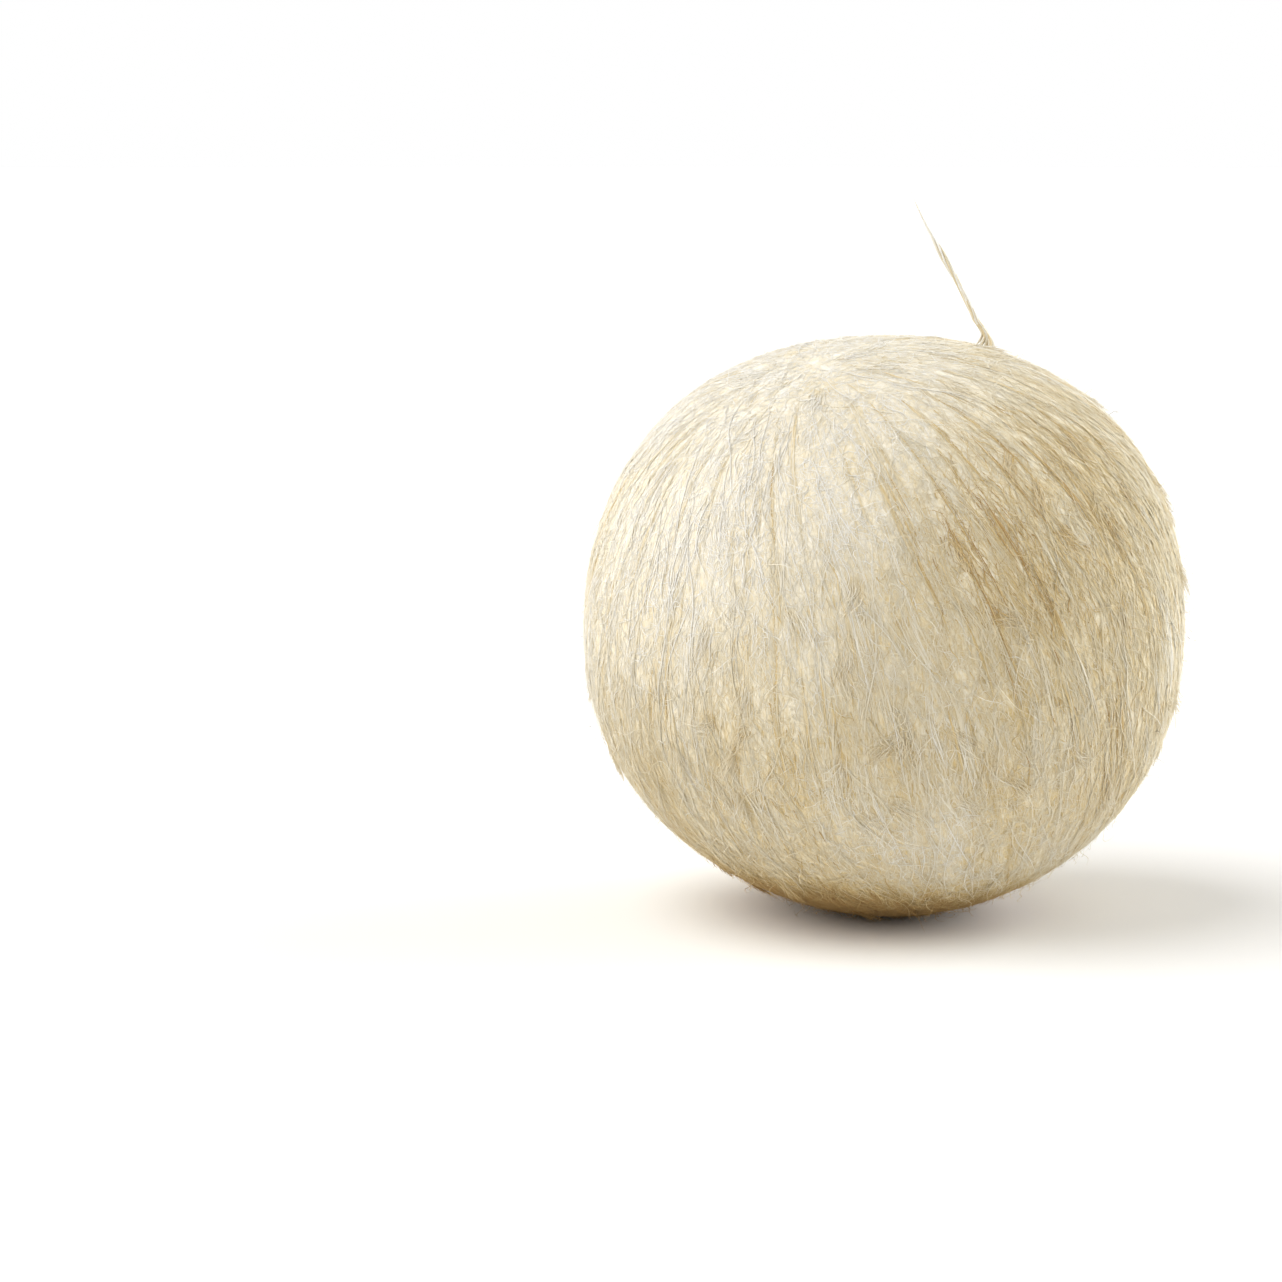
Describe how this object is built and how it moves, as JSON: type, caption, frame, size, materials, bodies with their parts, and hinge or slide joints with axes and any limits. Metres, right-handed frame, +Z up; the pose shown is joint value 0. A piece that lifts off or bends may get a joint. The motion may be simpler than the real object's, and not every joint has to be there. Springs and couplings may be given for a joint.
{
  "type": "coconut",
  "caption": "Whole round coconut with its husk off, in a close coat of pale matted husk fibre, with a loose strand standing at the crown; rests on a small flat spot.",
  "frame": {"origin": "on the floor plane under the middle of the nut's width and depth, at its rest spot", "axes": "+Z up through the crown of the nut, -Y the front, +X the right-hand side, where the loose strand grows"},
  "size_m": [0.126, 0.126, 0.1482],
  "materials": {
    "husk_fibre": "matt, felted natural fibre",
    "straw_fibre": "matt natural fibre with a slight silk"
  },
  "bodies": {
    "root": {"coconut_in_fibre_coat": "husk_fibre", "loose_fibre_strand": "straw_fibre"}
  },
  "joints": []
}
